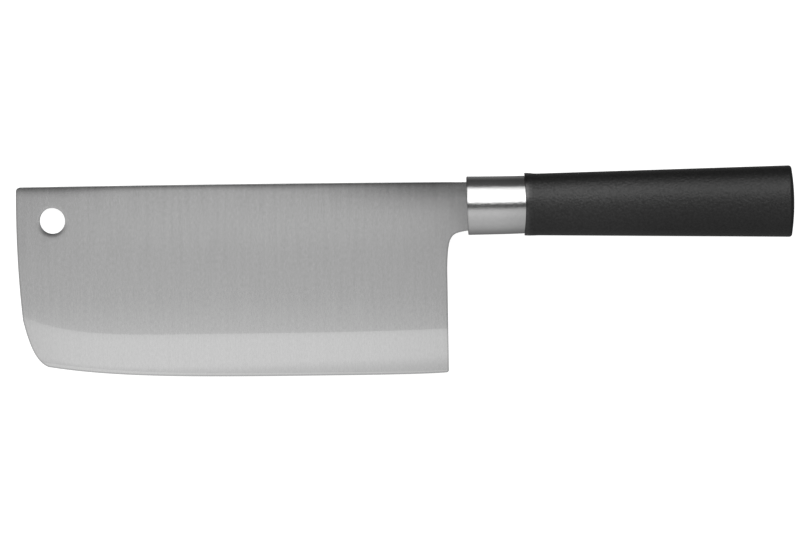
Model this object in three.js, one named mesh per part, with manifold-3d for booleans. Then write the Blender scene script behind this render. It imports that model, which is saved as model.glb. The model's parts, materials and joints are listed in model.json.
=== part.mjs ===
// A kitchen cleaver: a ground steel blade with a hidden tang, a drawn steel ferrule, a moulded grip and
// the adhesive that beds the tang in it. Millimetres, +Z up, lying on its side as on a table.
//
// The knife's own frame has its origin where the handle axis meets the front of the ferrule. X runs from
// the blade's front end to the butt, Y from the cutting edge to the spine, Z out of the blade's side.

import * as THREE from "three";
import { mergeVertices } from "three/addons/utils/BufferGeometryUtils.js";
import Module from "manifold-3d";

const wasm = await Module();
wasm.setup();

// Clearance that every piece keeps to its neighbours
const FIT_GAP = 0.3;

// Blade outline
const BLADE_LENGTH = 181.4; // ferrule to front end
const SPINE_STEP = 2.2; // ferrule's top down to the spine, at the neck
const SPINE_RISE = 0.3; // how much higher the spine is at the front end
const SPINE_CROWN = 0.3; // bow of the spine above its chord
const FRONT_CORNER = 2; // length of the rounding between spine and front end
const FRONT_LEAN = 2.1; // how far the front end leans back, down to the toe
const TOE_HEIGHT = 23.7; // lowest edge up to the start of the round toe
const TOE_PEAK_HEIGHT = 9.3; // lowest edge up to where the toe's two sides would meet
const TOE_PEAK_SETBACK = 4; // front end back to where they would meet
const TOE_SETBACK = 12; // front end back to the toe corner
const EDGE_DEPTH = 67.5; // handle axis down to the lowest edge
const EDGE_LOWEST_AT = 52; // ferrule to the lowest edge
const EDGE_RISE_TOE = 5; // lowest edge up to the toe corner
const EDGE_RISE_HEEL = 0.75; // lowest edge up to the heel
const HEEL_CORNER = 0.8; // length of the rounding between edge and heel
const CHOIL_RADIUS = 7.5; // round notch between heel and neck
const NECK_LENGTH = 1.1; // ferrule to the notch
const NECK_STEP = 1.6; // ferrule's underside up to the neck's

// Blade section
const BLADE_THICKNESS = 2.5;
const BEVEL_WIDTH = 17.45; // lowest edge up to the lowest grind line
const GRIND_LOWEST_AT = 112; // ferrule to the lowest point of the grind line
const GRIND_RISE_HEEL = 1.05; // lowest grind line up to its heel end
const GRIND_RISE_FRONT = 8; // lowest grind line up to its front end
const EDGE_THICKNESS = 0.6; // left behind the edge by the bevel
const HONED_THICKNESS = 0.1; // left at the edge by honing
const HONING_SLOPE = 0.3; // rise of each honed facet across its width
const CURL_START = 0.45; // share of an edge or grind line, from its lowest point, that stays level
const CURL_STOP = 0.75; // share where the line would still be level if it then rose straight
const WHEEL_OVERRUN = 8; // how far the wheels run out past what they grind

// Hang hole
const HOLE_DIAMETER = 10.3;
const HOLE_FROM_FRONT = 14.65; // front end to the hole's centre
const HOLE_FROM_SPINE = 13.75; // spine to the hole's centre

// Tang
const TANG_LENGTH = 78; // ferrule's front to the tang's end
const TANG_HEIGHT = 11;
const TANG_END_HEIGHT = 8;
const KEY_HOLES = 2;
const KEY_HOLE_DIAMETER = 4.5;
const KEY_HOLE_SPACING = 25;
const KEY_HOLE_FROM_END = 10;

// Ferrule
const FERRULE_LENGTH = 22.8;
const FERRULE_HEIGHT = 23.45;
const FERRULE_WIDTH = 19.6;
const FERRULE_WALL = 0.8;
const FERRULE_FACE = 1.2; // thickness of its front face
const FERRULE_ROUND = 0.7; // rounding of its front rim

// Grip
const GRIP_LENGTH = 107.5;
const GRIP_SHOULDER = 0.75; // how far it stands out beyond the ferrule
const GRIP_LIP = 0.8; // rounding of its front rim
const BUTT_HEIGHT = 29;
const BUTT_WIDTH = 23.4;
const BUTT_ROUND = 1.8; // rounding of its rear rim
const BUTT_DOME = 0.9; // crown of its rear face

// Adhesive
const BEDDING_WALL = 1.2; // thickness of adhesive round the tang
const BEDDING_PAD = 3; // depth of adhesive ahead of the grip's spigot

// Fineness of the curved surfaces
const OVAL_SIDES = 48;
const CURVE_STEPS = 12;
const RIM_STEPS = 6;
const GRIND_STEPS = 36;
const GRIP_RINGS = 6; // along its skin, and again over its rear face
const MERGE_DISTANCE = 1e-4;

const STEEL = { color: 0xa9abad, metalness: 1, roughness: 0.34 };
const BLACK_PLASTIC = { color: 0x232324, metalness: 0, roughness: 0.55 };
const ADHESIVE = { color: 0xc9b98f, metalness: 0, roughness: 0.4 };

// Levels and places that several pieces share
const spineHeight = FERRULE_HEIGHT / 2 - SPINE_STEP;
const spineFrontHeight = spineHeight + SPINE_RISE;
const neckDepth = FERRULE_HEIGHT / 2 - NECK_STEP;
const heelSetback = NECK_LENGTH + CHOIL_RADIUS;
const toeTop = new THREE.Vector2(FRONT_LEAN - BLADE_LENGTH, TOE_HEIGHT - EDGE_DEPTH);
const toePeak = new THREE.Vector2(TOE_PEAK_SETBACK - BLADE_LENGTH, TOE_PEAK_HEIGHT - EDGE_DEPTH);
const toeCorner = new THREE.Vector2(TOE_SETBACK - BLADE_LENGTH, EDGE_RISE_TOE - EDGE_DEPTH);
const edgeHeel = new THREE.Vector2(-heelSetback, EDGE_RISE_HEEL - EDGE_DEPTH);
const edgeLowest = new THREE.Vector2(-EDGE_LOWEST_AT, -EDGE_DEPTH);
const grindLowest = new THREE.Vector2(-GRIND_LOWEST_AT, BEVEL_WIDTH - EDGE_DEPTH);
const grindHeel = new THREE.Vector2(-heelSetback, grindLowest.y + GRIND_RISE_HEEL);
const grindFront = new THREE.Vector2(toeTop.x, grindLowest.y + GRIND_RISE_FRONT);
const hangHole = new THREE.Vector2(HOLE_FROM_FRONT - BLADE_LENGTH, spineFrontHeight - HOLE_FROM_SPINE);
const bevelSlope = (BLADE_THICKNESS - EDGE_THICKNESS) / 2 / BEVEL_WIDTH;
const ferruleBore = { height: FERRULE_HEIGHT - 2 * FERRULE_WALL, width: FERRULE_WIDTH - 2 * FERRULE_WALL };
const boreFill = { height: ferruleBore.height - 2 * FIT_GAP, width: ferruleBore.width - 2 * FIT_GAP };
const gripFront = FERRULE_LENGTH + FIT_GAP;
const gripRear = gripFront + GRIP_LENGTH;
const gripFrontHeight = FERRULE_HEIGHT + 2 * GRIP_SHOULDER;
const gripFrontWidth = FERRULE_WIDTH + 2 * GRIP_SHOULDER;
const padFront = FERRULE_FACE + FIT_GAP;
const padRear = padFront + BEDDING_PAD;
const spigotFront = padRear + FIT_GAP;
const beddingGrowth = FIT_GAP + BEDDING_WALL;
const socketGrowth = beddingGrowth + FIT_GAP;

function toSolid(geometry) {
  geometry.deleteAttribute("normal");
  geometry.deleteAttribute("uv");
  const merged = mergeVertices(geometry, MERGE_DISTANCE);
  const vertProperties = new Float32Array(merged.attributes.position.array);
  const triVerts = new Uint32Array(merged.index.array);
  return new wasm.Manifold(new wasm.Mesh({ numProp: 3, vertProperties, triVerts }));
}

function toMesh(name, solid, look) {
  const { vertProperties, triVerts } = solid.getMesh();
  const geometry = new THREE.BufferGeometry();
  geometry.setAttribute("position", new THREE.BufferAttribute(vertProperties, 3));
  geometry.setIndex(new THREE.BufferAttribute(triVerts, 1));
  geometry.computeVertexNormals();
  const mesh = new THREE.Mesh(geometry, new THREE.MeshStandardMaterial(look));
  mesh.name = name;
  return mesh;
}

// A flat plate of the given outline, centred on the blade's middle plane
function plate(outline, thickness) {
  const settings = { depth: thickness, bevelEnabled: false, curveSegments: CURVE_STEPS };
  return toSolid(new THREE.ExtrudeGeometry(outline, settings).translate(0, 0, -thickness / 2));
}

// A bar along X with an oval section. Its profile gives the share of the full section, from 0 on the axis
// to 1 at the skin, at each place along X, and section gives the full height and width there.
function ovalBar(profile, section) {
  const geometry = new THREE.LatheGeometry(profile, OVAL_SIDES).rotateZ(-Math.PI / 2);
  const position = geometry.attributes.position;
  for (let i = 0; i < position.count; i += 1) {
    const { height, width } = section(position.getX(i));
    position.setY(i, position.getY(i) * height / 2);
    position.setZ(i, position.getZ(i) * width / 2);
  }
  return toSolid(geometry);
}

function plainOvalBar(from, to, section) {
  const profile = [[0, from], [1, from], [1, to], [0, to]].map(([share, x]) => new THREE.Vector2(share, x));
  return ovalBar(profile, () => section);
}

// The rounded rim of an oval bar, from its face at x out to its skin. The skin lies towards +X from the
// face when inward is 1, and towards -X when it is -1.
function roundedRim(x, radius, fullHeight, inward) {
  const share = radius / (fullHeight / 2);
  return Array.from({ length: RIM_STEPS + 1 }, (_, step) => {
    const turn = (Math.PI / 2) * (step / RIM_STEPS);
    return new THREE.Vector2(1 - share * (1 - Math.sin(turn)), x + inward * radius * (1 - Math.cos(turn)));
  });
}

// The edge and the grind line are level at their lowest point and curl up to both ends. These are the
// control points of such a curl, from the lowest point to an end.
function curlControls(lowest, end) {
  return [CURL_START, CURL_STOP].map((share) => {
    return new THREE.Vector2(THREE.MathUtils.lerp(lowest.x, end.x, share), lowest.y);
  });
}

// Such a line as the path of a grinding wheel, run straight on past both of its ends
function wheelPath(heel, lowest, front) {
  const toHeel = curlControls(lowest, heel);
  const toFront = curlControls(lowest, front);
  const beforeHeel = heel.clone().sub(toHeel[1]).setLength(WHEEL_OVERRUN).add(heel);
  const pastFront = front.clone().sub(toFront[1]).setLength(WHEEL_OVERRUN).add(front);
  const flat = (...points) => points.map((point) => new THREE.Vector3(point.x, point.y, 0));
  const path = new THREE.CurvePath();
  path.add(new THREE.LineCurve3(...flat(beforeHeel, heel)));
  path.add(new THREE.CubicBezierCurve3(...flat(heel, toHeel[1], toHeel[0], lowest)));
  path.add(new THREE.CubicBezierCurve3(...flat(lowest, ...toFront, front)));
  path.add(new THREE.LineCurve3(...flat(front, pastFront)));
  return path;
}

// The stock that a wheel takes off one side of the blade, outside a face that slopes in towards the edge.
// On the path the face stands at halfThickness, and it reaches above and below the path. The section that
// is swept along the path has its first axis along -Z and its second towards the edge.
function groundStock(path, side, halfThickness, slope, above, below) {
  const face = (across) => halfThickness - slope * across;
  const clear = face(-above) + BLADE_THICKNESS;
  const corners = [[face(-above), -above], [clear, -above], [clear, below], [face(below), below]];
  const section = new THREE.Shape(corners.map(([out, across]) => new THREE.Vector2(-side * out, across)));
  return toSolid(new THREE.ExtrudeGeometry(section, { steps: GRIND_STEPS, extrudePath: path }));
}

function bladeOutline() {
  const outline = new THREE.Shape();
  const frontEnd = -BLADE_LENGTH;
  const crown = (spineHeight + spineFrontHeight) / 2 + 2 * SPINE_CROWN;
  outline.moveTo(-FIT_GAP, spineHeight);
  outline.quadraticCurveTo(frontEnd / 2, crown, frontEnd + FRONT_CORNER, spineFrontHeight);
  outline.quadraticCurveTo(frontEnd, spineFrontHeight, frontEnd, spineFrontHeight - FRONT_CORNER);
  outline.lineTo(frontEnd, 0);
  outline.quadraticCurveTo(frontEnd, toeTop.y / 2, toeTop.x, toeTop.y);
  outline.quadraticCurveTo(toePeak.x, toePeak.y, toeCorner.x, toeCorner.y);
  const [nearToe, farToe] = curlControls(edgeLowest, toeCorner);
  outline.bezierCurveTo(farToe.x, farToe.y, nearToe.x, nearToe.y, edgeLowest.x, edgeLowest.y);
  const [nearHeel, farHeel] = curlControls(edgeLowest, edgeHeel);
  outline.bezierCurveTo(nearHeel.x, nearHeel.y, farHeel.x, farHeel.y, edgeHeel.x - HEEL_CORNER, edgeHeel.y);
  outline.quadraticCurveTo(edgeHeel.x, edgeHeel.y, edgeHeel.x, edgeHeel.y + HEEL_CORNER);
  outline.absarc(-NECK_LENGTH, -neckDepth - CHOIL_RADIUS, CHOIL_RADIUS, Math.PI, Math.PI / 2, true);
  outline.lineTo(-FIT_GAP, -neckDepth);
  outline.holes.push(new THREE.Path().absarc(hangHole.x, hangHole.y, HOLE_DIAMETER / 2, 0, 2 * Math.PI));
  return outline;
}

// The tang's outline from the given front, or with growth the outline of the space round it
function tangOutline(front, growth) {
  const end = TANG_LENGTH + growth;
  const half = (x) => THREE.MathUtils.lerp(TANG_HEIGHT, TANG_END_HEIGHT, x / TANG_LENGTH) / 2 + growth;
  const outline = new THREE.Shape();
  outline.moveTo(front, -half(front));
  outline.lineTo(end, -half(end));
  outline.lineTo(end, half(end));
  outline.lineTo(front, half(front));
  return outline;
}

function keyHoles(growth) {
  return Array.from({ length: KEY_HOLES }, (_, index) => {
    const x = TANG_LENGTH - KEY_HOLE_FROM_END - index * KEY_HOLE_SPACING;
    return new THREE.Path().absarc(x, 0, KEY_HOLE_DIAMETER / 2 - growth, 0, 2 * Math.PI);
  });
}

function makeBlade() {
  const tang = tangOutline(-heelSetback, 0);
  tang.holes.push(...keyHoles(0));
  let blade = plate(bladeOutline(), BLADE_THICKNESS).add(plate(tang, BLADE_THICKNESS));
  const bevelPath = wheelPath(grindHeel, grindLowest, grindFront);
  const bevelReach = BEVEL_WIDTH + WHEEL_OVERRUN;
  const honingPath = wheelPath(edgeHeel, edgeLowest, toeCorner);
  const honingRise = BLADE_THICKNESS / HONING_SLOPE;
  for (const side of [1, -1]) {
    blade = blade
      .subtract(groundStock(bevelPath, side, BLADE_THICKNESS / 2, bevelSlope, WHEEL_OVERRUN, bevelReach))
      .subtract(groundStock(honingPath, side, HONED_THICKNESS / 2, HONING_SLOPE, honingRise, WHEEL_OVERRUN));
  }
  return toMesh("blade", blade, STEEL);
}

function makeFerrule() {
  const rim = roundedRim(0, FERRULE_ROUND, FERRULE_HEIGHT, 1);
  const profile = [new THREE.Vector2(0, 0), ...rim];
  profile.push(new THREE.Vector2(1, FERRULE_LENGTH), new THREE.Vector2(0, FERRULE_LENGTH));
  const sleeve = ovalBar(profile, () => ({ height: FERRULE_HEIGHT, width: FERRULE_WIDTH }));
  const bore = plainOvalBar(FERRULE_FACE, FERRULE_LENGTH + FERRULE_FACE, ferruleBore);
  const slot = plate(tangOutline(-FERRULE_FACE, FIT_GAP), BLADE_THICKNESS + 2 * FIT_GAP);
  return toMesh("ferrule", sleeve.subtract(bore).subtract(slot), STEEL);
}

function gripSection(x) {
  const along = (x - gripFront) / GRIP_LENGTH;
  return {
    height: THREE.MathUtils.lerp(gripFrontHeight, BUTT_HEIGHT, along),
    width: THREE.MathUtils.lerp(gripFrontWidth, BUTT_WIDTH, along),
  };
}

function makeGrip() {
  const lip = roundedRim(gripFront, GRIP_LIP, gripFrontHeight, 1);
  const rim = roundedRim(gripRear - BUTT_DOME, BUTT_ROUND, BUTT_HEIGHT, -1).reverse();
  const skinFrom = gripFront + GRIP_LIP;
  const skinTo = gripRear - BUTT_DOME - BUTT_ROUND;
  const skin = Array.from({ length: GRIP_RINGS }, (_, i) => {
    return new THREE.Vector2(1, THREE.MathUtils.lerp(skinFrom, skinTo, (i + 1) / (GRIP_RINGS + 1)));
  });
  const domeShare = rim.at(-1).x;
  const dome = Array.from({ length: GRIP_RINGS }, (_, i) => {
    const share = 1 - (i + 1) / GRIP_RINGS;
    return new THREE.Vector2(share * domeShare, gripRear - BUTT_DOME * share * share);
  });
  const body = ovalBar([new THREE.Vector2(0, gripFront), ...lip, ...skin, ...rim, ...dome], gripSection);
  const spigot = plainOvalBar(spigotFront, gripFront + GRIP_LIP, boreFill);
  const socket = plate(tangOutline(0, socketGrowth), BLADE_THICKNESS + 2 * socketGrowth);
  return toMesh("grip", body.add(spigot).subtract(socket), BLACK_PLASTIC);
}

function makeTangBedding() {
  const pad = plainOvalBar(padFront, padRear, boreFill);
  const column = plate(tangOutline(padFront, beddingGrowth), BLADE_THICKNESS + 2 * beddingGrowth);
  const tangSpace = tangOutline(-FERRULE_FACE, FIT_GAP);
  tangSpace.holes.push(...keyHoles(FIT_GAP));
  const bedding = pad.add(column).subtract(plate(tangSpace, BLADE_THICKNESS + 2 * FIT_GAP));
  return toMesh("tang_bedding", bedding, ADHESIVE);
}

// Lays the knife on the three points that carry it on a table: two along the toe and one under the grip
function layDown(knife) {
  const toeTopUnder = new THREE.Vector3(grindFront.x, grindFront.y, -BLADE_THICKNESS / 2);
  const toeCornerUnder = new THREE.Vector3(toeCorner.x, toeCorner.y, -EDGE_THICKNESS / 2);
  const gripUnder = new THREE.Vector3(gripFront + GRIP_LIP, 0, -gripFrontWidth / 2);
  const table = new THREE.Plane().setFromCoplanarPoints(toeTopUnder, toeCornerUnder, gripUnder);
  knife.quaternion.setFromUnitVectors(table.normal, new THREE.Vector3(0, 0, 1));
  const box = new THREE.Box3().setFromObject(knife, true);
  const middle = box.getCenter(new THREE.Vector3());
  knife.position.set(-middle.x, -middle.y, -box.min.z);
}

const knife = new THREE.Group();
knife.add(makeBlade(), makeFerrule(), makeGrip(), makeTangBedding());
layDown(knife);

const cleaver = new THREE.Group();
cleaver.name = "cleaver";
cleaver.add(knife);

export default cleaver;
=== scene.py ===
"""A kitchen cleaver: satin steel blade, polished ferrule and black moulded grip, lying on a pale table.

The knife is made in its own frame, in millimetres: X runs from the blade's front end to the butt, Y from
the cutting edge to the spine, Z out of the blade's upper side, and the origin is where the handle's axis
meets the front of the ferrule. LAY then takes a finished piece to where the knife lies, in metres.
"""

import json
import math

import bmesh
import bpy
from mathutils import Matrix, Vector


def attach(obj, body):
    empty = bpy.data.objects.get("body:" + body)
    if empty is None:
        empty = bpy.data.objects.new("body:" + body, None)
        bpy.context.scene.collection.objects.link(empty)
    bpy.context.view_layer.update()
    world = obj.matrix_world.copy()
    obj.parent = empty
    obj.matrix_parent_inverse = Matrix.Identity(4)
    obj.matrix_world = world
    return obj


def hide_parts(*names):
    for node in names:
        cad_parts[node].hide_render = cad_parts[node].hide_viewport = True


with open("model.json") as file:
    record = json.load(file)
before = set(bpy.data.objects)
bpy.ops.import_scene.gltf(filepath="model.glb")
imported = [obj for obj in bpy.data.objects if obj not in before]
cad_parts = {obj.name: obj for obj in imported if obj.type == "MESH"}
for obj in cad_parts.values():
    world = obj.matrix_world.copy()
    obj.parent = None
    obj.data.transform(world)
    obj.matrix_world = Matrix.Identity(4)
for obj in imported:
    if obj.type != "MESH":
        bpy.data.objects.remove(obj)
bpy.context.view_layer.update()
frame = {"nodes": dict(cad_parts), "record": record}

METRES = 0.001

# Blade outline
SPINE_AT_NECK = 9.5
SPINE_CROWN = 10.14
SPINE_FRONT = Vector((-179.4, 9.68))
FRONT_TOP = Vector((-181.15, 7.9))
FRONT_PULLS = Vector((-181.53, -10.5)), Vector((-180.84, -28.0))
TOE_TOP = Vector((-179.25, -43.8))
TOE_PULLS = Vector((-177.47, -51.19)), Vector((-175.15, -60.28))
TOE_CORNER = Vector((-169.4, -62.65))
EDGE_LOWEST = Vector((-58.0, -67.4))
EDGE_HEEL = Vector((-8.6, -66.8))
HEEL_CORNER = 1.1
CHOIL_END = Vector((-8.68, -25.2))
CHOIL_PULLS = Vector((-8.3, -11.2)), Vector((-7.0, -10.78))
NECK_TOP_REAR = -0.45
NECK_LOW = Vector((0.03, -9.95))
TANG_END = 78.0
TANG_HALF_FRONT = 5.506
TANG_HALF_REAR = 4.0
KEY_HOLES = (43.0, 68.0)
KEY_HOLE_RADIUS = 2.25
HANG_HOLE = Vector((-166.82, -3.9))
HANG_HOLE_RADIUS = 5.2
# Rim of the hang hole, dragged down where the belt left it: distance from the hole, and depth below the flat
HOLE_RIM = (
    (2.4, 0.0), (1.6, 0.0), (1.3, 0.002), (1.0, 0.009), (0.7, 0.019), (0.4, 0.032), (0.15, 0.044), (0.0, 0.051),
)
# Share of that depth which is also left on the rim's upper half
HOLE_RIM_UPPER = 0.15

# Blade section
BLADE_THICKNESS = 2.5
BLADE_EASING = 0.12
GRIND_LOWEST = Vector((-112.0, -50.05))
GRIND_HEEL = Vector((-8.6, -49.0))
GRIND_FRONT = Vector((-179.3, -42.05))
BEVEL_SLOPE = 0.0553
# Flat eased off just above the grind line: its drop, and the length that it fades over
GRIND_EASING = 0.011
GRIND_EASING_WIDTH = 2.0
HONED_THICKNESS = 0.1
HONING_SLOPE = 0.25
# How the edge and the grind line curl up: shares of their length at the two level points that they bend towards, and
# rounds of solving for a height
CURL_START = 0.45
CURL_STOP = 0.75
CURL_ROUNDS = 6
# Width of the blade's columns of faces. Points this near to a cut are on it, and points this near are one
COLUMN_WIDTH = 4.0
CUT_SNAP = 0.02
SEAM_SNAP = 0.001
# A face this level is the blank's side. Its faces, and the tang's walls, are joined if they turn less than this
LEVEL = 0.999
FLAT_TURN = 0.001
STRAIGHT = 0.01
# Heights above the grind line, and depths below the spine and below the grind line, that get a line of points
ABOVE_GRIND_LINES = (0.5, 1.2, 2.2, 3.5, 5.0)
FLAT_LINES = (
    0.2, 0.45, 0.75, 1.1, 1.5, 2.0, 2.6, 3.4, 4.5, 6.0, 8.0, 10.5, 13.5, 17.0, 21.0, 26.0, 31.0, 36.0, 41.0, 46.0,
    51.0,
)
BEVEL_LINES = (1.5, 3.5, 6.0, 8.0, 10.0, 11.5, 13.0, 14.5)
# Dubbed spine: its reach below the spine, where it reaches further (place, spread and how much), and its slope
DUB_REACH = 2.4
DUB_FURTHER = ((-166.0, 20.0, 2.3), (-73.0, 20.0, 1.0))
DUB_SLOPE = 0.055
# Flat rolled off towards the spine, most of all at the neck: its slopes, where they change, and its depth
ROLL_SLOPE = 0.002
NECK_ROLL_SLOPE = 0.034
NECK_ROLL_FROM = -40.0
NECK_ROLL_SPREAD = 13.0
ROLL_DEPTH = 7.5

# Painted shade at the front end and at the neck: (loss, and the length that it fades over) for the upper flat, the
# lower flat and the bevel
FRONT_PAINTED_SHADE = ((0.15, 25.0), (0.05, 25.0), (0.16, 14.0))
NECK_PAINTED_SHADE = ((0.27, 21.0), (0.14, 40.0), (0.14, 25.0))
UPPER_FLAT = 18.0
LOWER_FLAT = 34.0
# Painted shade along the spine, more of it at the front and at the neck: its loss, and the depth that it fades over.
# The neck's share of it ends this far short of the ferrule
SPINE_PAINTED_SHADE = (0.37, 1.25)
FRONT_SPINE_SHADE = (0.06, 0.2)
NECK_SPINE_SHADE = (0.34, 1.0)
NECK_SPINE_SHADE_ENDS = 6.5
# Painted shade under the hang hole: its loss, and the distance that it fades over
HOLE_PAINTED_SHADE = (0.62, 0.9)
# A darker band inside the blank's rim, all round as far as the neck: its width, its loss on the flat, the bevel and
# the honed edge, and where it ends
RIM_WIDTH = 0.6
RIM_LOSS = (0.32, 0.32, 0.36)
RIM_END = -1.2
HONED_GLEAM = 1.03
# A band of painted shade along the flat: its depth below the spine, half its width, and its loss
SHADED_BAND = (37.0, 15.0, 0.08)
# The bevel's shade below the grind line: its loss, and the length that it fades over
GRIND_SHADE = (0.045, 1.2)
# A band of painted shade above the honed edge, from the toe to the heel: its width and its loss
EDGE_SHADE_FROM = -150.0
EDGE_SHADE_TO = -15.0
EDGE_SHADE_WIDTH = (3.0, 8.2)
EDGE_SHADE_LOSS = (0.1, 0.2)

# Ferrule and grip
OVAL_POWER = 2.15
FERRULE_REAR = 23.8
FERRULE_HEIGHT = 23.35
FERRULE_WIDTH = 19.6
FERRULE_WALL = 0.8
FERRULE_FACE = 1.2
FERRULE_ROUND = 0.25
FERRULE_REAR_EASING = 0.15
# How the cup is out of true: narrower and higher towards its rear, its face leaning, its oval skewed and twisted
FERRULE_TAPER = 0.015
FERRULE_RISE = 0.2
FERRULE_LEAN = 0.0245
FERRULE_FORWARD = 0.247
FERRULE_SKEW = 0.037
FERRULE_TWIST = 0.009
# Painted shade on it: towards its rear from here on, next to the grip, and round its front rim, next to the blade,
# which has its width, its loss at the least and at the most, the place and spread of the most, and the share of the
# face that it leaves unshaded
FERRULE_SHADE_FROM = 10.0
FERRULE_REAR_SHADE = 0.13
FERRULE_RIM = 0.8
FERRULE_RIM_SHADE = (0.25, 0.9)
FERRULE_RIM_DARKEST = (4.4, 3.2)
FERRULE_FACE_RIM = 0.94
SLOT_HEIGHT = 11.6
SLOT_WIDTH = 3.1
SPIGOT_FRONT = 4.8
SPIGOT_HEIGHT = 21.25
SPIGOT_WIDTH = 17.4
SOCKET_END = 79.8
SOCKET_HEIGHT_FRONT = 14.4
SOCKET_HEIGHT_REAR = 11.5
SOCKET_WIDTH = 6.1
COLLAR_FLOOR = 24.4
COLLAR_HEIGHT = 23.25
COLLAR_WIDTH = 19.75
GRIP_FRONT = 23.3
GRIP_REAR = 130.24
GRIP_LIFT = 0.14
GRIP_FRONT_HEIGHT = 24.55
GRIP_FRONT_WIDTH = 20.85
GRIP_LIP = 0.15
# The lip at the grip's front: a bead, a rim that bows forward away from a height on it, a lift, and a polish
LIP_BEAD = 0.5
LIP_BEAD_AT = 24.0
LIP_BEAD_LENGTH = 2.2
LIP_SWEEP = 0.75
LIP_SWEEP_FROM = 0.8
LIP_SWEEP_LENGTH = 3.0
LIP_LIFT = 0.2
LIP_POLISHED = 1.65
LIP_POLISH_FADE = 0.2
# Where fingers have polished the grip: its middle and its spread
HELD_AT = (45.0, 30.0)
BUTT_HEIGHT = 28.6
BUTT_WIDTH = 23.1
BUTT_ROUND = 1.2
BUTT_DOME = 1.0

# Fineness of the round shapes
CURVE_STEPS = 20
OVAL_SIDES = 128
RIM_STEPS = 6
SKIN_RINGS = 24
SLEEVE_RINGS = 12
# Turns beyond which an edge of the blade, and of the handle, is drawn sharp
BLADE_SHARP = math.radians(16)
HANDLE_SHARP = math.radians(30)

# The photograph, taken from straight above
PHOTO_WIDTH = 805
PHOTO_SCALE = 0.4
CAMERA_HEIGHT = 2000.0
CAMERA_ROLL = math.radians(-0.8)
CAMERA_SHIFT = Vector((-26.2, -24.92, 0.0))
SENSOR_WIDTH = 36.0
CAMERA_REACH = 100.0

# The table that it lies on, and the studio's light: degrees from straight up towards the spine, strength
TABLE_REACH = 20.0
TABLE_GLOW = 0.93
STUDIO_LIGHT = (
    (-180, 0.1), (-120, 0.35), (-104, 0.43), (-89, 0.53), (-68, 0.63), (-48, 0.68), (-35, 0.74), (-26, 0.8),
    (-17, 0.82), (-9.6, 0.73), (-5, 0.39), (-4.3, 0.28), (-3.4, 0.13), (-2.7, 0.1), (3.2, 0.1), (5.2, 0.3),
    (7.0, 1.0), (8.8, 1.7), (12.8, 2.6), (20, 3.4), (30, 3.2), (38, 2.6), (48, 2.2), (57, 1.7), (64, 0.9),
    (71, 0.2), (80, 0.12), (110, 0.08), (150, 0.25), (180, 0.1),
)
# The lamps end where a ray leans this far along X, and the room's light takes over: the ray's rise, strength
LAMPS_END = 0.42
ROOM_FROM = 0.56
ROOM_LIGHT = (
    (-1.0, 0.08), (-0.2, 0.1), (0.1, 0.28), (0.35, 0.48), (0.52, 0.52), (0.62, 0.72), (0.7, 0.82), (1.0, 0.86),
)

# Ground steel: tone, how much the grain varies it, anisotropy, and the ground lines' width, length and depth
SATIN_FLAT = (0.752, 0.11, 0.95, 0.55, 1.6, 0.002)
GROUND_BEVEL = (0.757, 0.09, 0.95, 0.55, 1.6, 0.002)
HONED_EDGE = (0.85, 0.08, 0.5, 0.3, 1.0, 0.001)
GRAIN_SPAN = 100.0
STEEL_ROUGHNESS = 0.256
ROUGHNESS_SPREAD = 0.1
# The broader lines among them: how much wider and longer they are
BROADER = 3
LONGER = 14
LINE_DETAIL = 2.0
LINE_BUMP = 0.4
# Drawn steel: tone, roughness, a haze that varies both, and shallow ripples
FERRULE_TONE = 0.55
FERRULE_ROUGHNESS = 0.14
HAZE_FINENESS = 700.0
HAZE_DETAIL = 3.0
HAZE_TONE = (0.94, 1.06)
HAZE_ROUGHNESS = (0.8, 1.2)
RIPPLE_SIZE = (2.2, 1.0, 1.0)
RIPPLE_DETAIL = 2.0
RIPPLE_DEPTH = 0.02
# Moulded plastic: its blacks, its stipple and patches, and its roughness and gloss on the lip and on the skin, with
# the gloss's range over the stipple and where it is held
BLACKS = (0.002, 0.004)
STIPPLE_FINENESS = 1100.0
STIPPLE_DETAIL = 4.0
STIPPLE_DEPTH = 0.4
STIPPLE_BUMP = 0.5
PATCH_FINENESS = 160.0
PATCH_DETAIL = 3.0
GRIP_ROUGHNESS = (0.27, 0.44)
GRIP_GLOSS = (0.68, 0.42)
STIPPLE_GLOSS = (0.55, 1.45)
HELD_GLOSS = (0.95, 1.2)
# Adhesive and table
AMBERS = (0.62, 0.52, 0.33, 1.0), (0.45, 0.36, 0.2, 1.0)
BUBBLE_FINENESS = 900.0
ADHESIVE_ROUGHNESS = (0.2, 0.4)
TABLE_TONES = (0.29, 0.31)
CLOUD_FINENESS = 3.0
TABLE_ROUGHNESS = 0.6
WHITE = (1.0, 1.0, 1.0, 1.0)

MOUNT_POINT = Vector((-100.0, -20.0, BLADE_THICKNESS / 2)) * METRES
mount = next(m for m in frame["record"]["mounts"] if m["name"] == "upper_blade_face")
TILT = Vector((0, 0, 1)).rotation_difference(Vector(mount["axis"]))
KNIFE_ORIGIN = Vector(mount["pos_m"]) - TILT @ MOUNT_POINT
LAY = Matrix.Translation(KNIFE_ORIGIN) @ TILT.to_matrix().to_4x4() @ Matrix.Scale(METRES, 4)


def curl(x, lowest, end):
    """Height at x of a line that is level at its lowest point and curls up to an end, then runs straight on."""
    share = (x - lowest.x) / (end.x - lowest.x)
    if share >= 1:
        return end.y + (end.y - lowest.y) * (share - 1) / (1 - CURL_STOP)
    first, second, third = 3 * CURL_START, 3 * CURL_STOP - 6 * CURL_START, 1 + 3 * CURL_START - 3 * CURL_STOP
    t = share
    for _ in range(CURL_ROUNDS):
        miss = first * t + second * t**2 + third * t**3 - share
        t -= miss / (first + 2 * second * t + 3 * third * t**2)
    return lowest.y + (end.y - lowest.y) * t**3


def grind_line(x):
    return curl(x, GRIND_LOWEST, GRIND_HEEL if x > GRIND_LOWEST.x else GRIND_FRONT)


def edge_line(x):
    return curl(x, EDGE_LOWEST, EDGE_HEEL if x > EDGE_LOWEST.x else TOE_CORNER)


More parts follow.
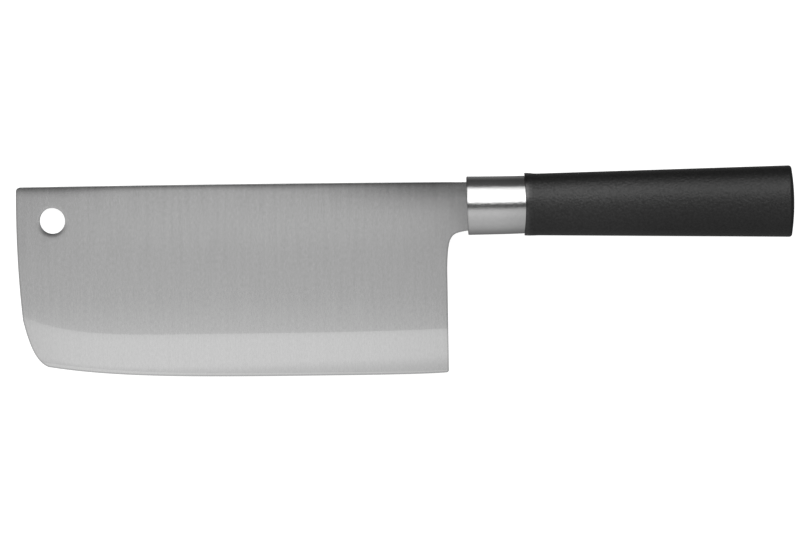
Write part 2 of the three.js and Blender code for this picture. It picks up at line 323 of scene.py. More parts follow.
def square_on(line, x):
    """Share of a height above a line that is its distance from the line."""
    rise = line(x + 0.5) - line(x - 0.5)
    return 1 / math.hypot(1, rise)


def half_bevel(x, y):
    """Half the blade's thickness where the wide bevel is ground."""
    below = (grind_line(x) - y) * square_on(grind_line, x)
    return BLADE_THICKNESS / 2 - BEVEL_SLOPE * below


def half_edge(x, y):
    """Half the blade's thickness where the edge is honed."""
    above = (y - edge_line(x)) * square_on(edge_line, x)
    return HONED_THICKNESS / 2 + HONING_SLOPE * above


def hone_line(x):
    """Height at x of the line where the honed edge meets the bevel."""
    y = edge_line(x)
    gap = half_bevel(x, y) - half_edge(x, y)
    return y + gap / (HONING_SLOPE * square_on(edge_line, x) - BEVEL_SLOPE * square_on(grind_line, x))


def draw_outline(curve, start, runs):
    """Adds a closed outline: each run holds its end, after the one or two points that it bends towards."""
    spline = curve.splines.new("BEZIER")
    spline.use_cyclic_u = True
    spline.bezier_points.add(len(runs) - 1)
    knots = spline.bezier_points
    here = Vector(start)
    for index, run in enumerate(runs):
        *pulls, end = [Vector(point) for point in run]
        if len(pulls) == 1:
            pulls = [here.lerp(pulls[0], 2 / 3), end.lerp(pulls[0], 2 / 3)]
        elif not pulls:
            pulls = [here.lerp(end, 1 / 3), here.lerp(end, 2 / 3)]
        knot, following = knots[index], knots[(index + 1) % len(runs)]
        for point in (knot, following):
            point.handle_left_type = point.handle_right_type = "FREE"
        knot.co, knot.handle_right = here.to_3d(), pulls[0].to_3d()
        following.handle_left = pulls[1].to_3d()
        here = end


def draw_circle(curve, centre, radius):
    """Adds a round outline, of four runs."""
    pull = radius * 4 / 3 * math.tan(math.pi / 8)
    corners = [Vector((1, 0)), Vector((0, 1)), Vector((-1, 0)), Vector((0, -1)), Vector((1, 0))]
    runs = []
    for here, end in zip(corners, corners[1:]):
        first, second = here * radius + end * pull, end * radius + here * pull
        runs.append((centre + first, centre + second, centre + end * radius))
    draw_outline(curve, centre + corners[0] * radius, runs)


def stamp_blank():
    """The blade's blank with its tang, eased edges and holes, as stamped from sheet."""
    curve = bpy.data.curves.new("blank", "CURVE")
    curve.dimensions = "2D"
    curve.fill_mode = "BOTH"
    curve.resolution_u = CURVE_STEPS
    curve.extrude = BLADE_THICKNESS / 2 - BLADE_EASING
    curve.bevel_depth = BLADE_EASING
    curve.bevel_resolution = 1
    curve.offset = -BLADE_EASING
    under_toe, under_heel = [Vector((end.x, EDGE_LOWEST.y)) for end in (TOE_CORNER, EDGE_HEEL)]
    toe_curl = [EDGE_LOWEST.lerp(under_toe, share) for share in (CURL_STOP, CURL_START)]
    heel_curl = [EDGE_LOWEST.lerp(under_heel, share) for share in (CURL_START, CURL_STOP)]
    draw_outline(curve, (NECK_TOP_REAR, SPINE_AT_NECK), [
        ((SPINE_FRONT.x / 2, SPINE_CROWN), SPINE_FRONT),
        ((FRONT_TOP.x, SPINE_FRONT.y), FRONT_TOP),
        (*FRONT_PULLS, TOE_TOP),
        (*TOE_PULLS, TOE_CORNER),
        (*toe_curl, EDGE_LOWEST),
        (*heel_curl, EDGE_HEEL - Vector((HEEL_CORNER, 0))),
        (EDGE_HEEL, EDGE_HEEL + Vector((0, HEEL_CORNER))),
        (CHOIL_END,),
        (*CHOIL_PULLS, NECK_LOW),
        ((NECK_LOW.x, -TANG_HALF_FRONT),),
        ((TANG_END, -TANG_HALF_REAR),),
        ((TANG_END, TANG_HALF_REAR),),
        ((NECK_TOP_REAR, TANG_HALF_FRONT),),
        ((NECK_TOP_REAR, SPINE_AT_NECK),),
    ])
    draw_circle(curve, HANG_HOLE, HANG_HOLE_RADIUS + HOLE_RIM[0][0])
    for x in KEY_HOLES:
        draw_circle(curve, Vector((x, 0)), KEY_HOLE_RADIUS)
    drawing = bpy.data.objects.new("blank", curve)
    mesh = bpy.data.meshes.new_from_object(drawing)
    bm = bmesh.new()
    bm.from_mesh(mesh)
    bpy.data.objects.remove(drawing)
    bpy.data.curves.remove(curve)
    bpy.data.meshes.remove(mesh)
    bmesh.ops.remove_doubles(bm, verts=bm.verts, dist=SEAM_SNAP)
    return bm


def spine_line(x):
    """Height of the spine at x."""
    t = x / SPINE_FRONT.x
    return (1 - t) ** 2 * SPINE_AT_NECK + 2 * t * (1 - t) * SPINE_CROWN + t**2 * SPINE_FRONT.y


def step_up(x, start, spread):
    """A smooth step from 0 to 1 round a start."""
    return 1 / (1 + math.exp((start - x) / spread))


def bump_at(x, place, spread):
    """A smooth bump of height 1 at a place."""
    return math.exp(-(((x - place) / spread) ** 2))


def roll_off(x, y):
    """How much the flat has dropped towards the spine, where it is dubbed and where the neck rolls off."""
    depth = max(0.0, spine_line(x) - y)
    reach = DUB_REACH
    for place, spread, further in DUB_FURTHER:
        reach += further * bump_at(x, place, spread)
    slope = ROLL_SLOPE + NECK_ROLL_SLOPE * step_up(x, NECK_ROLL_FROM, NECK_ROLL_SPREAD)
    dubbed = (DUB_SLOPE - slope) * reach * max(0.0, 1 - depth / reach) ** 3 / 3
    return dubbed + slope * ROLL_DEPTH * math.sqrt(math.pi) / 2 * math.erfc(depth / ROLL_DEPTH)


def half_thickness(x, y):
    """Half the blade's thickness, which the flat, the bevel or the honed edge sets."""
    above = max(0.0, y - grind_line(x))
    flat = BLADE_THICKNESS / 2 - roll_off(x, y) - GRIND_EASING * math.exp(-above / GRIND_EASING_WIDTH)
    return max(HONED_THICKNESS / 2, min(flat, half_bevel(x, y), half_edge(x, y)))


def ramp_up(value, low, high):
    """0 below low and 1 above high, with a smooth ramp between."""
    share = max(0.0, min(1.0, (value - low) / (high - low)))
    return share * share * (3 - 2 * share)


def steel_finish_and_shade(x, y, zone):
    """How bright the blade's finish and its painted shade make a point of the flat (zone 0), the bevel (1) or the
    honed edge (2).
    """
    # Painted shade at the front end and at the neck
    painted_end_shade = []
    for front, neck in zip(FRONT_PAINTED_SHADE, NECK_PAINTED_SHADE):
        at_front = front[0] * math.exp((FRONT_TOP.x - x) / front[1])
        painted_end_shade.append(at_front + neck[0] * math.exp(min(0.0, x) / neck[1]))
    if zone:
        finish_and_shade = 1 - painted_end_shade[2]
        finish_and_shade *= 1 - GRIND_SHADE[0] * math.exp((y - grind_line(x)) / GRIND_SHADE[1])
        # A band of painted shade above the honed edge, from the toe to the heel
        along = max(0.0, min(1.0, (x - EDGE_SHADE_FROM) / (EDGE_SHADE_TO - EDGE_SHADE_FROM)))
        width = EDGE_SHADE_WIDTH[0] + (EDGE_SHADE_WIDTH[1] - EDGE_SHADE_WIDTH[0]) * along
        loss = EDGE_SHADE_LOSS[0] + (EDGE_SHADE_LOSS[1] - EDGE_SHADE_LOSS[0]) * along
        start = hone_line(x) - edge_line(x)
        finish_and_shade *= 1 - loss * (1 - ramp_up(y - edge_line(x), start, width))
        return finish_and_shade * HONED_GLEAM if zone == 2 else finish_and_shade
    depth = spine_line(x) - y
    lower = ramp_up(depth, UPPER_FLAT, LOWER_FLAT)
    finish_and_shade = 1 - painted_end_shade[0] * (1 - lower) - painted_end_shade[1] * lower
    # Painted shade along the spine, more of it at the front and at the neck
    front = bump_at(x, *DUB_FURTHER[0][:2])
    neck = step_up(x, NECK_ROLL_FROM, NECK_ROLL_SPREAD) * (1 - bump_at(x, 0, NECK_SPINE_SHADE_ENDS))
    spine_shades = zip(SPINE_PAINTED_SHADE, FRONT_SPINE_SHADE, NECK_SPINE_SHADE)
    loss, fade = [spine + front * at_front + neck * at_neck for spine, at_front, at_neck in spine_shades]
    finish_and_shade *= 1 - loss * math.exp(-max(0.0, depth) / fade)
    # Painted shade under the hang hole
    spoke = Vector((x, y)) - HANG_HOLE
    under = max(0.0, -spoke.normalized().y)
    finish_and_shade *= 1 - HOLE_PAINTED_SHADE[0] * under * math.exp((HANG_HOLE_RADIUS - spoke.length) / HOLE_PAINTED_SHADE[1])
    # A band of painted shade along the flat
    in_band = math.exp(-(((depth - SHADED_BAND[0]) / SHADED_BAND[1]) ** 4))
    return finish_and_shade * (1 - SHADED_BAND[2] * in_band)


def score(bm, line):
    """Cuts the blade's faces along a line given by its height at each x."""
    blade = [v for v in bm.verts if v.co.x <= NECK_LOW.x]
    geometry = set(blade)
    for vert in blade:
        geometry.update(vert.link_edges, vert.link_faces)
    for vert in bm.verts:
        vert.co.y -= line(vert.co.x)
    bmesh.ops.bisect_plane(bm, geom=list(geometry), dist=CUT_SNAP, plane_co=(0, 0, 0), plane_no=(0, 1, 0))
    for vert in bm.verts:
        vert.co.y += line(vert.co.x)


def join_flats(bm):
    """Joins each side of the blank, as far as its holes allow, and each straight wall of its neck and tang."""
    level = [e for e in bm.edges if all(abs(f.normal.z) > LEVEL for f in e.link_faces)]
    bmesh.ops.dissolve_limit(bm, angle_limit=FLAT_TURN, verts=[], edges=level)
    tang = [v for v in bm.verts if v.co.x > NECK_TOP_REAR - 2 * BLADE_EASING]
    runs = list({e for v in tang for e in v.link_edges})
    bmesh.ops.dissolve_limit(bm, angle_limit=STRAIGHT, verts=tang, edges=runs)


def dress_hole(bm):
    """Softens the hang hole's rim on both sides and joins the two rims with the hole's wall."""
    widest = HANG_HOLE_RADIUS + HOLE_RIM[0][0]
    def reach(vert):
        return (vert.co.xy - HANG_HOLE).length
    wall = [f for f in bm.faces if all(reach(v) < widest + 2 * BLADE_EASING for v in f.verts)]
    bmesh.ops.delete(bm, geom=wall, context="FACES")
    rims = []
    for side in (1, -1):
        ring = [e for e in bm.edges if e.is_boundary and all(v.co.z * side > 0 for v in e.verts)]
        for out, depth in HOLE_RIM:
            ring, verts = extrude_ring(bm, ring)
            for vert in verts:
                spoke = (vert.co.xy - HANG_HOLE).normalized()
                share = HOLE_RIM_UPPER + (1 - HOLE_RIM_UPPER) * max(0.0, -spoke.y)
                vert.co.xy = HANG_HOLE + spoke * (HANG_HOLE_RADIUS + out)
                vert.co.z = side * (half_thickness(vert.co.x, vert.co.y) - depth * share)
        rims += ring
    bmesh.ops.bridge_loops(bm, edges=rims)


def extrude_ring(bm, ring):
    """Draws a ring of edges out into a new ring, and gives the new edges and points."""
    made = bmesh.ops.extrude_edge_only(bm, edges=ring)["geom"]
    verts = [g for g in made if isinstance(g, bmesh.types.BMVert)]
    fresh = set(verts)
    edges = [g for g in made if isinstance(g, bmesh.types.BMEdge) and fresh.issuperset(g.verts)]
    return edges, verts


def mark_rim(bm):
    """Draws a line round each side of the blank, inside its rim, and marks the points of the rim with 1."""
    rim = bm.verts.layers.float.new("rim")
    for vert in bm.verts:
        vert[rim] = 1.0
    sides = [f for f in bm.faces if abs(f.normal.z) > LEVEL]
    bmesh.ops.inset_region(bm, faces=sides, thickness=RIM_WIDTH, use_boundary=True, use_even_offset=True)
    for face in sides:
        for vert in face.verts:
            vert[rim] = 0.0
    for vert in bm.verts:
        at_hole = (vert.co.xy - HANG_HOLE).length < HANG_HOLE_RADIUS + HOLE_RIM[0][0] + RIM_WIDTH
        if at_hole or vert.co.x > RIM_END:
            vert[rim] = 0.0
    return rim


def forge_blade():
    """The blade: the blank, cut into faces, ground to its thickness, with its hole dressed and its finish and
    painted shade marked.
    """
    bm = stamp_blank()
    join_flats(bm)
    rim = mark_rim(bm)
    for step in range(1, int(-FRONT_TOP.x / COLUMN_WIDTH) + 1):
        whole = bm.verts[:] + bm.edges[:] + bm.faces[:]
        place = (-step * COLUMN_WIDTH, 0, 0)
        bmesh.ops.bisect_plane(bm, geom=whole, dist=CUT_SNAP, plane_co=place, plane_no=(1, 0, 0))
    for depth in FLAT_LINES:
        score(bm, lambda x: spine_line(x) - depth)
    for height in ABOVE_GRIND_LINES:
        score(bm, lambda x: grind_line(x) + height)
    score(bm, grind_line)
    for depth in BEVEL_LINES:
        score(bm, lambda x: grind_line(x) - depth)
    score(bm, hone_line)
    for vert in bm.verts:
        vert.co.z *= half_thickness(vert.co.x, vert.co.y) / (BLADE_THICKNESS / 2)
    dress_hole(bm)
    bmesh.ops.dissolve_degenerate(bm, dist=SEAM_SNAP, edges=bm.edges)
    for face in bm.faces:
        centre = face.calc_center_median()
        if centre.x < NECK_LOW.x and centre.y < hone_line(centre.x):
            face.material_index = 2
        elif centre.x < NECK_LOW.x and centre.y < grind_line(centre.x):
            face.material_index = 1
    # Each corner's colour carries the finish with its painted shade, and the darker band inside the rim
    finish_and_shade = bm.loops.layers.float_color.new("finish_and_shade")
    for face in bm.faces:
        for loop in face.loops:
            bright = steel_finish_and_shade(loop.vert.co.x, loop.vert.co.y, face.material_index)
            loop[finish_and_shade] = grey(bright * (1 - RIM_LOSS[face.material_index] * loop.vert[rim]))
    return bm


def oval_ring(bm, x, height, width):
    """A ring of points round the handle's axis, a little squarer than an ellipse. Gives the ring's edges."""
    place = Matrix(((0, 0, 1, x), (height / 2, 0, 0, 0), (0, width / 2, 0, 0), (0, 0, 0, 1)))
    verts = bmesh.ops.create_circle(bm, segments=OVAL_SIDES, radius=1.0, matrix=place)["verts"]
    for vert in verts:
        sides = abs(2 * vert.co.y / height) ** OVAL_POWER + abs(2 * vert.co.z / width) ** OVAL_POWER
        vert.co.yz /= sides ** (1 / OVAL_POWER)
    return list({e for v in verts for e in v.link_edges})


def draw_out(bm, ring, sizes):
    """Draws a ring out through rings of the given (x, height, width), from the first size to the last."""
    for (x0, height0, width0), (x1, height1, width1) in zip(sizes, sizes[1:]):
        ring, verts = extrude_ring(bm, ring)
        bmesh.ops.scale(bm, verts=verts, vec=(1, height1 / height0, width1 / width0))
        bmesh.ops.translate(bm, verts=verts, vec=(x1 - x0, 0, 0))
    return ring


def square_ring(bm, ring, oval, height, width):
    """Draws an oval ring in, at its own x, to an oblong of the given height and width."""
    ring, verts = extrude_ring(bm, ring)
    reach = math.hypot(height, width)
    bmesh.ops.scale(bm, verts=verts, vec=(1, reach / oval[1], reach / oval[2]))
    for vert in verts:
        vert.co.y = max(-height / 2, min(height / 2, vert.co.y))
        vert.co.z = max(-width / 2, min(width / 2, vert.co.z))
    return ring


def rounding(x, radius, height, width, inward):
    """Rings round a rim, from the skin to the face at x. The skin lies towards +X from it if inward is 1."""
    rings = []
    for step in range(RIM_STEPS + 1):
        turn = math.pi / 2 * step / RIM_STEPS
        inset = 2 * radius * (1 - math.cos(turn))
        rings.append((x + inward * radius * (1 - math.sin(turn)), height - inset, width - inset))
    return rings


def draw_cup():
    """The ferrule: a drawn cup with a slot in its face for the tang."""
    bm = bmesh.new()
    bore = (FERRULE_HEIGHT - 2 * FERRULE_WALL, FERRULE_WIDTH - 2 * FERRULE_WALL)
    rear = rounding(FERRULE_REAR, FERRULE_REAR_EASING, FERRULE_HEIGHT, FERRULE_WIDTH, -1)[::-1]
    front = rounding(0.0, FERRULE_ROUND, FERRULE_HEIGHT, FERRULE_WIDTH, 1)
    sleeve = []
    for step in range(1, SLEEVE_RINGS):
        sleeve.append((FERRULE_REAR * (1 - step / SLEEVE_RINGS), FERRULE_HEIGHT, FERRULE_WIDTH))
    sleeve.append((FERRULE_RIM, FERRULE_HEIGHT, FERRULE_WIDTH))
    face = [FERRULE_FACE_RIM * size - FERRULE_ROUND for size in (FERRULE_HEIGHT, FERRULE_WIDTH)]
    sizes = [(FERRULE_FACE, *bore), (FERRULE_REAR, *bore), *rear, *sleeve, *front, (0.0, *face)]
    first = oval_ring(bm, *sizes[0])
    last = draw_out(bm, first, sizes)
    slot = square_ring(bm, last, sizes[-1], SLOT_HEIGHT, SLOT_WIDTH)
    slot, verts = extrude_ring(bm, slot)
    bmesh.ops.translate(bm, verts=verts, vec=(FERRULE_FACE, 0, 0))
    bmesh.ops.bridge_loops(bm, edges=first + slot)
    # Painted shade towards the rear, next to the grip, and round the front rim, next to the blade
    finish_and_shade = bm.verts.layers.float.new("finish_and_shade")
    for vert in bm.verts:
        share = vert.co.x / FERRULE_REAR
        rear_shade = FERRULE_REAR_SHADE * ramp_up(vert.co.x, FERRULE_SHADE_FROM, FERRULE_REAR)
        vert[finish_and_shade] = 1 - rear_shade
        out = math.hypot(2 * vert.co.y / FERRULE_HEIGHT, 2 * vert.co.z / FERRULE_WIDTH)
        if out > (1 + FERRULE_FACE_RIM) / 2:
            worst = bump_at(vert.co.y, *FERRULE_RIM_DARKEST)
            loss = FERRULE_RIM_SHADE[0] + (FERRULE_RIM_SHADE[1] - FERRULE_RIM_SHADE[0]) * worst
            vert[finish_and_shade] *= 1 - loss * (1 - ramp_up(vert.co.x, 0, FERRULE_RIM))
        vert.co.z -= (FERRULE_SKEW + FERRULE_TWIST * share) * vert.co.y
        vert.co.x -= (FERRULE_FORWARD + FERRULE_LEAN * vert.co.y) * (1 - share)
        vert.co.y += FERRULE_RISE * share**3 - FERRULE_TAPER * vert.co.y * share
    return bm


def grip_section(x):
    """Height and width of the grip at x, with the bead behind its front rim."""
    along = (x - GRIP_FRONT) / (GRIP_REAR - GRIP_FRONT)
    bead = LIP_BEAD * bump_at(x, LIP_BEAD_AT, LIP_BEAD_LENGTH)
    height = GRIP_FRONT_HEIGHT + (BUTT_HEIGHT - GRIP_FRONT_HEIGHT) * along + bead
    return height, GRIP_FRONT_WIDTH + (BUTT_WIDTH - GRIP_FRONT_WIDTH) * along


def mould_grip():
    """The grip, from the pole of its butt to its front, with the spigot and the tang's socket."""
    bm = bmesh.new()
    rim = GRIP_REAR - BUTT_DOME
    butt = rounding(rim, BUTT_ROUND, *grip_section(rim), -1)[::-1]
    lip_from = GRIP_FRONT + GRIP_LIP
    lip = rounding(GRIP_FRONT, GRIP_LIP, *grip_section(lip_from), 1)
    sizes = []
    for step in range(1, RIM_STEPS + 1):
        share = step / (RIM_STEPS + 1)
        x = GRIP_REAR - BUTT_DOME * share**2
        sizes.append((x, butt[0][1] * share, butt[0][2] * share))
    sizes += butt
    for step in range(1, SKIN_RINGS):
        share = (1 - step / SKIN_RINGS) ** 2
        x = lip_from + (butt[-1][0] - lip_from) * share
        sizes.append((x, *grip_section(x)))
    sizes += lip
    sizes += [(x, COLLAR_HEIGHT, COLLAR_WIDTH) for x in (GRIP_FRONT, COLLAR_FLOOR)]
    sizes += [(x, SPIGOT_HEIGHT, SPIGOT_WIDTH) for x in (COLLAR_FLOOR, SPIGOT_FRONT)]
    pole = oval_ring(bm, *sizes[0])
    ring = draw_out(bm, pole, sizes)
    ring = square_ring(bm, ring, sizes[-1], SOCKET_HEIGHT_FRONT, SOCKET_WIDTH)
    ring, verts = extrude_ring(bm, ring)
    bmesh.ops.scale(bm, verts=verts, vec=(1, SOCKET_HEIGHT_REAR / SOCKET_HEIGHT_FRONT, 1))
    bmesh.ops.translate(bm, verts=verts, vec=(SOCKET_END - SPIGOT_FRONT, 0, 0))
    bmesh.ops.edgeloop_fill(bm, edges=ring)
    bmesh.ops.edgeloop_fill(bm, edges=pole)
    polish = bm.verts.layers.float.new("finish_and_shade")
    held = bm.verts.layers.float.new("held")
    for vert in bm.verts:
        behind = vert.co.x - GRIP_FRONT
        vert[held] = bump_at(vert.co.x, *HELD_AT)
        vert[polish] = step_up(-behind, -LIP_POLISHED, LIP_POLISH_FADE)
        if 0 <= behind < LIP_SWEEP_LENGTH:
            side = 2 * (vert.co.y - LIP_SWEEP_FROM) / GRIP_FRONT_HEIGHT
            left = 1 - behind / LIP_SWEEP_LENGTH
            vert.co.x -= LIP_SWEEP * side**2 * left
            vert.co.y += LIP_LIFT * left
        vert.co.y += GRIP_LIFT
    return bm


def finish_piece(name, bm, node, materials, sharp_angle):
    """Lays a piece down in its place, shades it and gives it its finish and its body, and hides the CAD node that it
    stands in for.
    """
    bmesh.ops.recalc_face_normals(bm, faces=bm.faces)
    lay_of = bm.loops.layers.uv.new("grain")
    for face in bm.faces:
        face.smooth = True
        for loop in face.loops:
            loop[lay_of].uv = loop.vert.co.xy / GRAIN_SPAN
    for edge in bm.edges:
        zones = {face.material_index for face in edge.link_faces}
        edge.smooth = len(zones) == 1 and edge.calc_face_angle(0) < sharp_angle
    bmesh.ops.transform(bm, matrix=LAY, verts=bm.verts)
    mesh = bpy.data.meshes.new(name)
    bm.to_mesh(mesh)
    bm.free()
    for material in materials:
        mesh.materials.append(material)
    piece = bpy.data.objects.new(name, mesh)
    bpy.context.scene.collection.objects.link(piece)
    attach(piece, "root")
    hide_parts(node)


def add(tree, kind, inputs=None, **settings):
    """Adds a node with its settings, and fills its inputs with values or with other nodes' outputs."""
    node = tree.nodes.new(kind)
    for name, value in settings.items():
        setattr(node, name, value)
    for name, value in (inputs or {}).items():
        if isinstance(value, bpy.types.NodeSocket):
            tree.links.new(value, node.inputs[name])
        else:
            node.inputs[name].default_value = value
    return node


def start_material(name):
    """A new material with the piece's own coordinates, and its node tree without a shader."""
    material = bpy.data.materials.new(name)
    material.use_nodes = True
    tree = material.node_tree
    tree.nodes.clear()
    place = add(tree, "ShaderNodeTexCoord").outputs["Object"]
    return material, tree, place


def noise(tree, place, fineness, detail):
    inputs = {"Vector": place, "Scale": fineness, "Detail": detail}
    return add(tree, "ShaderNodeTexNoise", inputs).outputs["Fac"]


def marks(tree, name):
    """A value that the piece's mesh carries."""
    return add(tree, "ShaderNodeAttribute", attribute_name=name).outputs["Fac"]


def streaks(tree, place, width, length):
    """Noise drawn out along Y, like the lines that a belt leaves."""
    scale = (1 / (width * METRES), 1 / (length * METRES), 0)
    along = add(tree, "ShaderNodeMapping", {"Vector": place, "Scale": scale}).outputs[0]
    return noise(tree, along, 1.0, LINE_DETAIL)


def ranged(tree, value, low, high):
    """A value from 0 to 1 taken to the range from low to high."""
    inputs = {"Value": value, "To Min": low, "To Max": high}
    return add(tree, "ShaderNodeMapRange", inputs).outputs["Result"]


def times(tree, first, second):
    return add(tree, "ShaderNodeMath", {0: first, 1: second}, operation="MULTIPLY").outputs[0]


def mixed(tree, factor, first, second):
    """A colour between two, by a factor."""
    node = add(tree, "ShaderNodeMix", data_type="RGBA")
    sockets = [s for s in node.inputs if s.enabled]
    tree.links.new(factor, sockets[0])
    sockets[1].default_value = first
    sockets[2].default_value = second
    return [s for s in node.outputs if s.enabled][0]


def grey(value):
    return (value, value, value, 1.0)


def ground_steel(name, tone, grain, anisotropy, line_width, line_length, line_depth):
    """Steel ground across the blade, with fine lines from spine to edge."""
    material, tree, place = start_material(name)
    fine = streaks(tree, place, line_width, line_length)
    broad = streaks(tree, place, BROADER * line_width, LONGER * line_length)
    fine_tone = ranged(tree, fine, tone * (1 - grain), tone * (1 + grain))
    lines = times(tree, fine_tone, ranged(tree, broad, 1 - grain / 2, 1 + grain / 2))
    # The finish with its painted shade that the mesh carries
    finish_and_shade = marks(tree, "finish_and_shade")
    spread = (1 - ROUGHNESS_SPREAD, 1 + ROUGHNESS_SPREAD)
    rough = ranged(tree, broad, *[STEEL_ROUGHNESS * share for share in spread])
    bump = add(tree, "ShaderNodeBump", {"Strength": LINE_BUMP, "Distance": line_depth * METRES, "Height": fine})
    tangent = add(tree, "ShaderNodeTangent", direction_type="UV_MAP", uv_map="grain")
    shader = add(tree, "ShaderNodeBsdfPrincipled", {
        "Base Color": times(tree, lines, finish_and_shade), "Metallic": 1.0, "Roughness": rough, "Anisotropic": anisotropy,
        "Tangent": tangent.outputs[0], "Normal": bump.outputs[0],
    })
    add(tree, "ShaderNodeOutputMaterial", {"Surface": shader.outputs[0]})
    return material


def drawn_steel():
    """Steel polished after drawing, with a faint haze and shallow ripples."""
    material, tree, place = start_material("polished_ferrule")
    haze = noise(tree, place, HAZE_FINENESS, HAZE_DETAIL)
    tone = ranged(tree, haze, *[FERRULE_TONE * share for share in HAZE_TONE])
    # The tone is darkened by the painted shade that the mesh carries
    colour = times(tree, tone, marks(tree, "finish_and_shade"))
    rough = ranged(tree, haze, *[FERRULE_ROUGHNESS * share for share in HAZE_ROUGHNESS])
    scale = [1 / (size * METRES) for size in RIPPLE_SIZE]
    along = add(tree, "ShaderNodeMapping", {"Vector": place, "Scale": scale}).outputs[0]
    ripples = noise(tree, along, 1.0, RIPPLE_DETAIL)
    bump = add(tree, "ShaderNodeBump", {"Strength": 1.0, "Distance": RIPPLE_DEPTH * METRES, "Height": ripples})
    shader = add(tree, "ShaderNodeBsdfPrincipled", {
        "Base Color": colour, "Metallic": 1.0, "Roughness": rough, "Normal": bump.outputs[0],
    })
    add(tree, "ShaderNodeOutputMaterial", {"Surface": shader.outputs[0]})
    return material


def moulded_black():
    """Black plastic with the fine stipple of a spark-eroded mould, and a smooth lip."""
    material, tree, place = start_material("moulded_black")
    stipple = noise(tree, place, STIPPLE_FINENESS, STIPPLE_DETAIL)
    patches = noise(tree, place, PATCH_FINENESS, PATCH_DETAIL)
    colour = mixed(tree, patches, *[grey(black) for black in BLACKS])
    skin = ranged(tree, marks(tree, "finish_and_shade"), 1.0, 0.0)
    rough = ranged(tree, skin, *GRIP_ROUGHNESS)
    height = times(tree, stipple, skin)
    inputs = {"Strength": STIPPLE_BUMP, "Distance": STIPPLE_DEPTH * METRES, "Height": height}
    bump = add(tree, "ShaderNodeBump", inputs)
    gloss = times(tree, ranged(tree, skin, *GRIP_GLOSS), ranged(tree, stipple, *STIPPLE_GLOSS))
    gloss = times(tree, gloss, ranged(tree, marks(tree, "held"), *HELD_GLOSS))
    shader = add(tree, "ShaderNodeBsdfPrincipled", {
        "Base Color": colour, "Roughness": rough, "Specular IOR Level": gloss, "Normal": bump.outputs[0],
    })
    add(tree, "ShaderNodeOutputMaterial", {"Surface": shader.outputs[0]})
    return material


def cured_adhesive():
    """Amber adhesive with small bubbles."""
    material, tree, place = start_material("cured_adhesive")
    bubbles = add(tree, "ShaderNodeTexVoronoi", {"Vector": place, "Scale": BUBBLE_FINENESS}).outputs["Distance"]
    colour = mixed(tree, bubbles, *AMBERS)
    rough = ranged(tree, bubbles, *ADHESIVE_ROUGHNESS)
    shader = add(tree, "ShaderNodeBsdfPrincipled", {"Base Color": colour, "Roughness": rough})
    add(tree, "ShaderNodeOutputMaterial", {"Surface": shader.outputs[0]})
    return material


def pale_table():
    """A white table top that glows a little, as a light table does."""
    bm = bmesh.new()
    bmesh.ops.create_grid(bm, x_segments=1, y_segments=1, size=TABLE_REACH)
    mesh = bpy.data.meshes.new("table")
    bm.to_mesh(mesh)
    bm.free()
    material, tree, place = start_material("white_acrylic")
    cloud = add(tree, "ShaderNodeTexNoise", {"Vector": place, "Scale": CLOUD_FINENESS}).outputs["Fac"]
    colour = mixed(tree, cloud, *[grey(tone) for tone in TABLE_TONES])
    shader = add(tree, "ShaderNodeBsdfPrincipled", {
        "Base Color": colour, "Roughness": TABLE_ROUGHNESS, "Emission Color": WHITE, "Emission Strength": TABLE_GLOW,
    })
    add(tree, "ShaderNodeOutputMaterial", {"Surface": shader.outputs[0]})
    mesh.materials.append(material)
    table = bpy.data.objects.new("table", mesh)
    bpy.context.scene.collection.objects.link(table)
    table.visible_glossy = False


def graded(tree, value, stops):
    """A grey that follows a value through stops, each of them a place and a strength."""
    low, high = stops[0][0], stops[-1][0]
    share = add(tree, "ShaderNodeMapRange", {"Value": value, "From Min": low, "From Max": high}).outputs["Result"]
    ramp = add(tree, "ShaderNodeValToRGB", {"Fac": share})
    knots = ramp.color_ramp.elements
    while len(knots) < len(stops):
        knots.new(0.5)
    for knot, (place, strength) in zip(knots, stops):
        knot.position = (place - low) / (high - low)
        knot.color = grey(strength)
    return ramp.outputs["Color"]


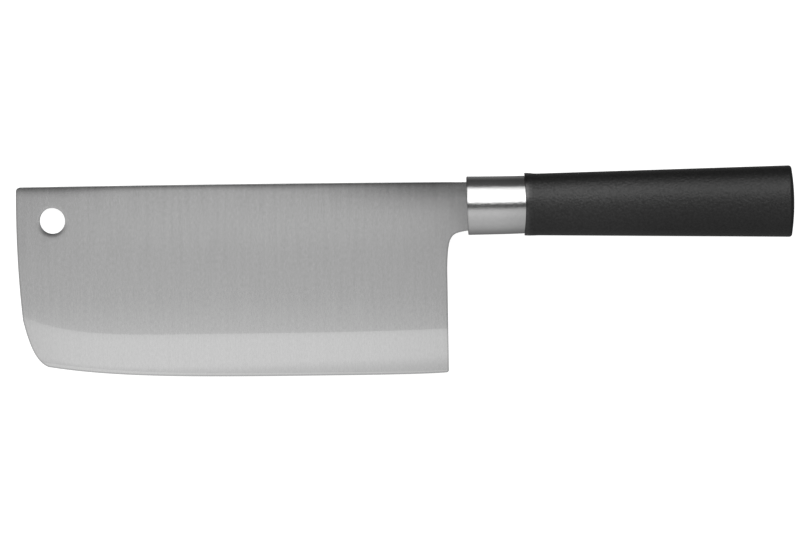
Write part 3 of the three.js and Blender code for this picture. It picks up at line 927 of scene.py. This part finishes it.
def studio():
    """The lamps' light by its angle from straight up towards the spine's side, the room's light, and a backdrop."""
    world = bpy.data.worlds.new("studio")
    bpy.context.scene.world = world
    world.use_nodes = True
    tree = world.node_tree
    tree.nodes.clear()
    ray = add(tree, "ShaderNodeTexCoord").outputs["Generated"]
    axes = add(tree, "ShaderNodeSeparateXYZ", {"Vector": ray}).outputs
    angle = add(tree, "ShaderNodeMath", {0: axes["Y"], 1: axes["Z"]}, operation="ARCTAN2").outputs[0]
    degrees = add(tree, "ShaderNodeMath", {0: angle}, operation="DEGREES").outputs[0]
    lamps = add(tree, "ShaderNodeBackground", {"Color": graded(tree, degrees, STUDIO_LIGHT)})
    room = add(tree, "ShaderNodeBackground", {"Color": graded(tree, axes["Z"], ROOM_LIGHT)})
    lean = add(tree, "ShaderNodeMath", {0: axes["X"]}, operation="ABSOLUTE").outputs[0]
    inputs = {"Value": lean, "From Min": LAMPS_END, "From Max": ROOM_FROM}
    past = add(tree, "ShaderNodeMapRange", inputs, interpolation_type="SMOOTHSTEP").outputs["Result"]
    light = add(tree, "ShaderNodeMixShader", {0: past, 1: lamps.outputs[0], 2: room.outputs[0]})
    backdrop = add(tree, "ShaderNodeBackground", {"Color": WHITE})
    seen = add(tree, "ShaderNodeLightPath").outputs["Is Camera Ray"]
    both = add(tree, "ShaderNodeMixShader", {0: seen, 1: light.outputs[0], 2: backdrop.outputs[0]})
    add(tree, "ShaderNodeOutputWorld", {"Surface": both.outputs[0]})
    bpy.context.scene.view_settings.view_transform = "Standard"


def camera():
    """The photograph's camera, straight above the knife."""
    data = bpy.data.cameras.new("camera")
    data.sensor_width = SENSOR_WIDTH
    data.lens = SENSOR_WIDTH * CAMERA_HEIGHT / (PHOTO_WIDTH * PHOTO_SCALE)
    eye = bpy.data.objects.new("camera", data)
    bpy.context.scene.collection.objects.link(eye)
    eye.rotation_euler.z = CAMERA_ROLL
    shift = Matrix.Rotation(CAMERA_ROLL, 3, "Z") @ CAMERA_SHIFT
    eye.location = KNIFE_ORIGIN + (shift + Vector((0, 0, CAMERA_HEIGHT))) * METRES
    data.clip_end = CAMERA_REACH
    bpy.context.scene.camera = eye


camera()
studio()
pale_table()
blade_finishes = [
    ground_steel("satin_flat", *SATIN_FLAT),
    ground_steel("ground_bevel", *GROUND_BEVEL),
    ground_steel("honed_edge", *HONED_EDGE),
]
finish_piece("cleaver_blade", forge_blade(), "blade", blade_finishes, BLADE_SHARP)
finish_piece("cleaver_ferrule", draw_cup(), "ferrule", [drawn_steel()], HANDLE_SHARP)
finish_piece("cleaver_grip", mould_grip(), "grip", [moulded_black()], HANDLE_SHARP)
bedding = frame["nodes"]["tang_bedding"]
bedding.data.materials.clear()
bedding.data.materials.append(cured_adhesive())
